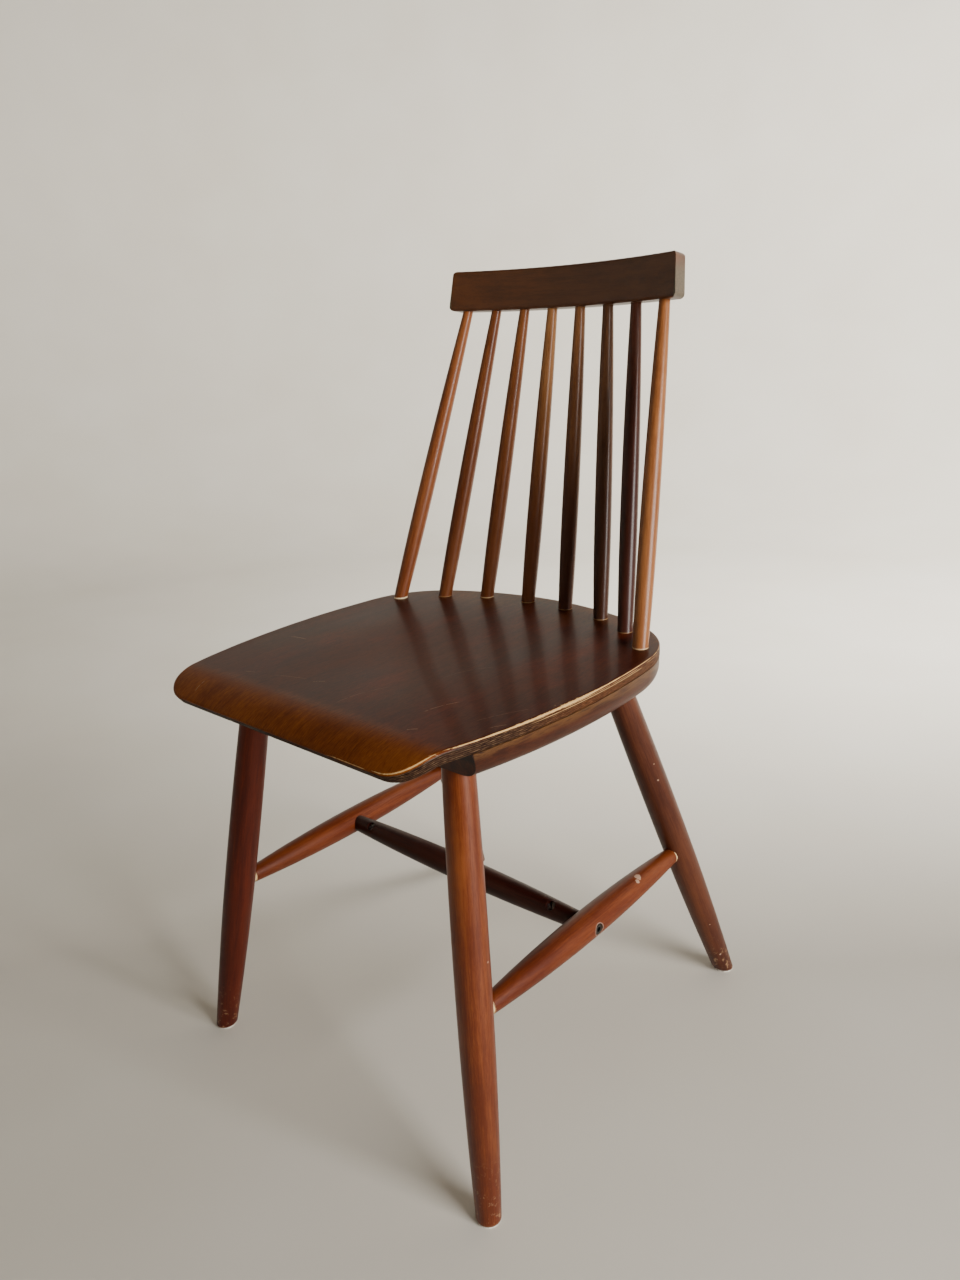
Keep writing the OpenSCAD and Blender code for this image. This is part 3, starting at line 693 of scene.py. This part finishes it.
# Scratches on the seat in millimetres, as x and y of both ends, bow to one side, strength.
SCRATCHES = [
    (-157, -93, -133, -89, 0.6, 0.5),
    (-105, -185, -95, -181, 0.2, 0.3),
    (-75, -176, -39, -163, 1.0, 0.22),
    (-31, -165, -22, -157, 0.2, 0.4),
    (27, -189, 37, -132, 5.0, 0.2),
    (103, -160, 114, -124, 2.4, 0.45),
    (-119, -232, -122, -218, 0.3, 0.6),
    (150, -150, 174, -99, 2.0, 0.22),
    (117, -193, 124, -186, 0.4, 0.6),
    (162, -215, 167, -209, 0.4, 0.6),
    (60, -90, 84, -40, 6.0, 0.16),
    (168, -153, 176, -139, 0.6, 0.4),
]


def scratches(shader, u, v):
    """Thin curved scratches in the lacquer."""
    total = 0.0
    for x0, y0, x1, y1, bow, strength in SCRATCHES:
        start = np.array([x0 * MM, float(sheet_run(y0 * MM))])
        end = np.array([x1 * MM, float(sheet_run(y1 * MM))])
        way = end - start
        length = float(np.linalg.norm(way))
        ahead = way / length
        du = shader.math("SUBTRACT", u, float(start[0]))
        dv = shader.math("SUBTRACT", v, float(start[1]))
        run = shader.math("MULTIPLY", du, float(ahead[0] / length))
        run = shader.math("MULTIPLY_ADD", dv, float(ahead[1] / length), run)
        off = shader.math("MULTIPLY", du, float(-ahead[1]))
        off = shader.math("MULTIPLY_ADD", dv, float(ahead[0]), off)
        curve = shader.both(run, shader.math("SUBTRACT", 1.0, run))
        off = shader.math("ABSOLUTE", shader.math("MULTIPLY_ADD", curve, -4 * bow * MM, off))
        thin = shader.step(off, 0.15 * MM, 0.55 * MM, strength, 0.0)
        total = shader.math("MULTIPLY_ADD", thin, shader.band(run, 0.12, 0.88, 0.12), total)
    sheet = shader.attribute("sheet", "Vector")
    broken = shader.step(shader.noise(sheet, 260, 3, 0.6), 0.36, 0.52)
    return shader.both(total, broken)


# ---- other materials ---------------------------------------------------------


BEARER_LOW, BEARER_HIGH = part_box("bearer_left")
BEARER_TONES = (tone("301308"), tone("512713"))
BEARER_STREAKS = [(0.38, tone("1c0e09")), (0.5, tone("5a3b1c")), (0.62, tone("331a0d"))]
BEARER_END_SHADE = tone("190905")
# Heights between which the golden band begins, and the slope of the front end, whose face is painted dark
# as shade.
GOLDEN_HEIGHTS = (424 * MM, 432 * MM)
END_SLOPE = math.radians(10)


def bearer_material(name, seed):
    """Side bearer: streaky golden band under the ply, red-brown below, and painted shade on its front end.
    """
    shader = Shader(name)
    place = shader.place()
    grain = Grain(shader, place, 1, seed)
    colour = stain(shader, grain.value(0.6, 0.5, 0.5, 0.1), *BEARER_TONES)
    _, ahead, height = shader.split(place)
    ragged = shader.math("MULTIPLY_ADD", grain.rings, 14 * MM, height)
    golden = shader.step(ragged, *GOLDEN_HEIGHTS)
    lines = shader.math("MULTIPLY_ADD", grain.rings, 0.6, shader.math("MULTIPLY", grain.fibres, 0.4))
    streak = shader.ramp(lines, BEARER_STREAKS)
    colour = shader.mix(shader.math("MULTIPLY", golden, 0.8), colour, streak)
    # Painted shade: the sloping front end face is darkened to stand for the shadow it sits in.
    lean = shader.math("MULTIPLY_ADD", height, math.tan(END_SLOPE), ahead)
    front = BEARER_LOW.y + BEARER_HIGH.z * math.tan(END_SLOPE)
    end = shader.step(lean, front + 0.6 * MM, front + 1.4 * MM, 0.92, 0.0)
    colour = shader.mix(end, colour, BEARER_END_SHADE)
    shader.bump(grain.height(), 0.12 * MM, 0.6)
    return shader.finish(colour, grain.gloss(0.36), coat=0.05, coat_roughness=0.2, specular=0.15)


RAIL_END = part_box("top_rail")[1].x
RAIL_TONES = (tone("43220b"), tone("643716"))
RAIL_END_STOPS = [(0.35, tone("35291b")), (0.5, tone("483a27")), (0.65, tone("5b4c35"))]


def rail_material():
    """Top rail: dark face, greyish worn end grain."""
    shader = Shader("rail_lacquer")
    place = shader.place()
    grain = Grain(shader, place, 0, 4.1)
    colour = stain(shader, grain.value(0.35, 0.4, 0.5, 0.15), *RAIL_TONES)
    reach = shader.math("ABSOLUTE", shader.split(place)[0])
    reach = shader.math("MULTIPLY_ADD", grain.peel, 0.8 * MM, reach)
    end = shader.step(reach, RAIL_END - 2.6 * MM, RAIL_END - 1.2 * MM)
    speckle = shader.noise(place, 900, 4, 0.65)
    pale = shader.ramp(speckle, RAIL_END_STOPS)
    colour = shader.mix(end, colour, pale)
    shader.bump(grain.height(), 0.1 * MM, 0.5)
    return shader.finish(colour, grain.gloss(0.38), coat=0.2, coat_roughness=0.2)


def steel_material(name, base):
    """Dull plated steel with a dirty, slightly uneven surface."""
    shader = Shader(name)
    place = shader.place()
    cloud = shader.noise(place, 380, 3, 0.6)
    colour = shader.ramp(cloud, [(0.3, tone("3a3733")), (0.7, base)])
    roughness = shader.math("MULTIPLY_ADD", cloud, 0.3, 0.25)
    shader.bump(shader.noise(place, 1800, 2), 0.05 * MM, 0.5)
    return shader.finish(colour, roughness, metallic=1.0)


def nylon_material():
    """Off-white nylon glide, scratched and grey in patches."""
    shader = Shader("glide_nylon_worn")
    place = shader.place()
    dirt = shader.noise(place, 300, 4, 0.65)
    colour = shader.ramp(dirt, [(0.3, tone("8f8a80")), (0.6, tone("d8d4ca"))])
    shader.bump(dirt, 0.08 * MM, 0.5)
    return shader.finish(colour, shader.math("MULTIPLY_ADD", dirt, 0.25, 0.4))


# ---- dressing the frame ------------------------------------------------------


def dress(node, material):
    """Gives the node's own mesh a material."""
    mesh = NODES[node].data
    mesh.materials.clear()
    mesh.materials.append(material)


WELD_REACH = 0.002 * MM


def soften(node, width, degrees=38, segments=3):
    """Breaks the node's sharp arrises."""
    thing = NODES[node]
    weld = thing.modifiers.new("weld", "WELD")
    weld.merge_threshold = WELD_REACH
    bevel = thing.modifiers.new("arris", "BEVEL")
    bevel.width = width
    bevel.segments = segments
    bevel.limit_method = "ANGLE"
    bevel.angle_limit = math.radians(degrees)
    normals = thing.modifiers.new("normals", "WEIGHTED_NORMAL")
    normals.keep_sharp = False
    normals.weight = 80


REAR_LEG_TONES = dict(dark=tone("3f1b0e"), light=tone("61351f"))
LEG_LOOKS = {
    "leg_front_left": dict(dark=tone("5a240a"), light=tone("83461e"), seed=2.0, smudge=0.35,
                           coat=0.3, scuff=0.5),
    "leg_front_right": dict(dark=tone("3c0f05"), light=tone("60220b"), seed=5.0, smudge=0.4, scuff=0.5),
    "leg_rear_left": dict(**REAR_LEG_TONES, seed=8.0, smudge=0.35, scuff=0.6),
    "leg_rear_right": dict(**REAR_LEG_TONES, seed=11.0, smudge=0.4, scuff=0.6),
}
STRETCHER_TONES = (tone("54200a"), tone("773a14"))
# The cross stretcher's very dark tones are painted shade, for the shadow under the seat.
CROSS_SHADED_TONES = (tone("240803"), tone("3e1306"))
# Chips in the lacquer, as place in the row frame and radius.
CHIPS = {
    "leg_rear_left": [((0.1717, 0.1049, 0.2904), 1.1 * MM), ((0.1698, 0.0991, 0.3104), 0.8 * MM),
                      ((0.1967, 0.2078, 0.0772), 2.4 * MM), ((0.2010, 0.2085, 0.0330), 1.3 * MM),
                      ((0.1961, 0.1877, 0.0828), 0.8 * MM)],
    "leg_front_left": [((0.1754, -0.1716, 0.2352), 1.0 * MM)],
    "stretcher_left": [((0.1746, 0.0647, 0.1982), 4.0 * MM), ((0.1776, 0.0590, 0.1970), 2.6 * MM)],
}
# Each spindle's light and dark stain, how much its lower half is darkened by painted shade, and how
# strong the pale ring at its foot is.
SPINDLE_LOOKS = [
    ("985a2e", "6c3618", 0.0, 1.0),
    ("8a5129", "633214", 0.25, 0.12),
    ("94592c", "693818", 0.35, 0.5),
    ("b07b4c", "7d4e28", 0.85, 0.3),
    ("99663e", "643c20", 0.9, 0.15),
    ("805434", "50301b", 0.9, 0.2),
    ("6a3b26", "401b10", 0.8, 0.08),
    ("a66e40", "784420", 0.1, 0.55),
]
# Heights below which the spindles' painted shade is full, and above which it is gone.
SHADE_HEIGHTS = (520 * MM, 720 * MM)
# Roughly from a spindle's foremost point back to its axis at the seat, and how far its pale
# ring stands above the seat.
FOOT_REACH = 10 * MM
RING_RISE = 0.3 * MM


def seat_height_at(y):
    """Height of the seat's top face at plan position y behind the roll."""
    return SEAT_TOP - (SEAT_BACK - y) * math.tan(TILT)


def dress_spindles():
    for i, (light, dark, painted_shade_share, ring) in enumerate(SPINDLE_LOOKS):
        node = f"spindle_{i + 1}"
        foot = seat_height_at(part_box(node)[0].y + FOOT_REACH)
        shade = (*SHADE_HEIGHTS, painted_shade_share) if painted_shade_share else None
        material = turned_wood(
            f"spindle_lacquer_{i + 1}", node, tone(dark), tone(light), 13.0 + 1.7 * i,
            smudge=0.2, shade=shade, coat=0.2, bare=foot_ring(foot + RING_RISE, ring),
        )
        dress(node, material)


def dress_frame():
    for node, look in LEG_LOOKS.items():
        dress(node, turned_wood(node + "_lacquer", node, spots=CHIPS.get(node, ()), **look))
    for side, seed in (("left", 31.0), ("right", 37.0)):
        node = "stretcher_" + side
        dress(node, turned_wood(node + "_lacquer", node, *STRETCHER_TONES, seed, smudge=0.25,
                                spots=CHIPS.get(node, ()), bare=bare_tenons))
        bearer = "bearer_" + side
        dress(bearer, bearer_material(bearer + "_lacquer", seed + 3))
        soften(bearer, 0.9 * MM)
        dress("connector_bolt_" + side, steel_material("bolt_steel_" + side, tone("55514c")))
        dress("barrel_nut_" + side, steel_material("nut_steel_" + side, tone("c4c1ba")))
        for end in ("front", "rear"):
            soften(f"leg_{end}_{side}", 0.5 * MM)
        soften(node, 0.4 * MM)
    cross = turned_wood("cross_shaded_lacquer", "cross_stretcher", *CROSS_SHADED_TONES, 43.0, smudge=0.3)
    dress("cross_stretcher", cross)
    soften("cross_stretcher", 0.35 * MM)
    dress_spindles()
    dress("top_rail", rail_material())
    soften("top_rail", 1.6 * MM, degrees=50)
    nylon = nylon_material()
    for end in ("front", "rear"):
        for side in ("left", "right"):
            dress(f"glide_{end}_{side}", nylon)
    dress("glide_nails", steel_material("nail_steel_bright", tone("a9a69f")))


# ---- stage, light and camera -------------------------------------------------

# The camera's place, its turn to the left of +Y, its dip and roll, and its lens in millimetres
# on a sensor whose longer side is SENSOR.
CAMERA_PLACE = Vector((0.6081, -0.65755, 0.7246))
CAMERA_TURN = math.radians(41.437)
CAMERA_DIP = math.radians(17.818)
CAMERA_ROLL = math.radians(-2.02)
CAMERA_LENS = 26.12
SENSOR = 36


def make_camera():
    ahead = Vector((-math.sin(CAMERA_TURN) * math.cos(CAMERA_DIP),
                    math.cos(CAMERA_TURN) * math.cos(CAMERA_DIP), -math.sin(CAMERA_DIP)))
    level = Vector((math.cos(CAMERA_TURN), math.sin(CAMERA_TURN), 0.0))
    up = level.cross(ahead)
    right = math.cos(CAMERA_ROLL) * level + math.sin(CAMERA_ROLL) * up
    top = -math.sin(CAMERA_ROLL) * level + math.cos(CAMERA_ROLL) * up
    data = bpy.data.cameras.new("camera")
    data.lens = CAMERA_LENS
    data.sensor_width = SENSOR
    data.sensor_fit = "AUTO"
    data.clip_start = 0.01
    camera = bpy.data.objects.new("camera", data)
    bpy.context.scene.collection.objects.link(camera)
    turn = Matrix((right, top, -ahead)).transposed().to_4x4()
    camera.matrix_world = Matrix.Translation(CAMERA_PLACE) @ turn
    bpy.context.scene.camera = camera


FLOOR_STOPS = [(0.3, tone("c9c3b8")), (0.7, tone("cdc8be"))]
INNER_RADII = (0.6, 1.3)
FLOOR_RADIUS = 2.4
COVE_RADIUS = 1.5
COVE_HEIGHT = 3.4
COVE_TURNS = 96


def make_stage():
    """Pale floor that curves up all round into a plain wall."""
    angles = np.linspace(0, math.pi / 2, 16)
    profile = [(r, 0.0) for r in INNER_RADII]
    profile += [(FLOOR_RADIUS + COVE_RADIUS * math.sin(a), COVE_RADIUS * (1 - math.cos(a))) for a in angles]
    profile.append((FLOOR_RADIUS + COVE_RADIUS, COVE_HEIGHT))
    vertices = [(0.0, 0.0, 0.0)]
    for radius, height in profile:
        for j in range(COVE_TURNS):
            a = 2 * math.pi * j / COVE_TURNS
            vertices.append((radius * math.cos(a), radius * math.sin(a), height))
    faces = []
    for j in range(COVE_TURNS):
        k = (j + 1) % COVE_TURNS
        faces.append((0, 1 + j, 1 + k))
        for i in range(len(profile) - 1):
            base, above = 1 + i * COVE_TURNS, 1 + (i + 1) * COVE_TURNS
            faces.append((base + j, above + j, above + k, base + k))
    mesh = bpy.data.meshes.new("floor")
    mesh.from_pydata(vertices, [], faces)
    floor = bpy.data.objects.new("floor", mesh)
    bpy.context.scene.collection.objects.link(floor)
    mesh.polygons.foreach_set("use_smooth", [True] * len(mesh.polygons))
    shader = Shader("floor_paint")
    cloud = shader.noise(shader.place(), 3, 2)
    colour = shader.ramp(cloud, FLOOR_STOPS)
    mesh.materials.append(shader.finish(colour, 0.75, specular=0.2))


SKY_COLOUR = (0.95, 0.95, 1.0, 1.0)
SKY_STRENGTH = 0.07
CHAIR_MIDDLE = (0.0, 0.0, 0.45)
WALL = (-1.1, 3.7, 1.1)
# Each lamp's name, place, target, size, power in watts, colour and spread in degrees.
LAMPS = [
    ("window", (2.35, -0.1, 1.05), CHAIR_MIDDLE, (1.2, 1.3), 57, (1.0, 0.98, 0.95), 130),
    ("fill", (-1.5, -1.9, 1.5), CHAIR_MIDDLE, (1.6, 1.4), 1.8, (1.0, 0.8, 0.62), 180),
    ("backdrop", (1.0, 1.4, 1.7), WALL, (1.6, 0.6), 270, (1.0, 0.99, 0.95), 180),
]


def add_lamp(name, place, target, size, power, colour, spread):
    """A soft rectangular lamp that the camera doesn't see."""
    data = bpy.data.lights.new(name, "AREA")
    data.spread = math.radians(spread)
    data.shape = "RECTANGLE"
    data.size, data.size_y = size
    data.energy = power
    data.color = colour
    lamp = bpy.data.objects.new(name, data)
    bpy.context.scene.collection.objects.link(lamp)
    lamp.location = place
    lamp.rotation_euler = (Vector(target) - Vector(place)).to_track_quat("-Z", "Y").to_euler()
    lamp.visible_camera = False


def make_lights():
    world = bpy.data.worlds.new("studio")
    bpy.context.scene.world = world
    world.use_nodes = True
    sky = world.node_tree.nodes["Background"]
    sky.inputs["Color"].default_value = SKY_COLOUR
    sky.inputs["Strength"].default_value = SKY_STRENGTH
    for lamp in LAMPS:
        add_lamp(*lamp)


# ---- the chair ---------------------------------------------------------------

dress_frame()
seat = build_seat()
seat.data.materials.append(seat_material())
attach(seat, "root")
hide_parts("seat_board")
make_stage()
make_lights()
make_camera()
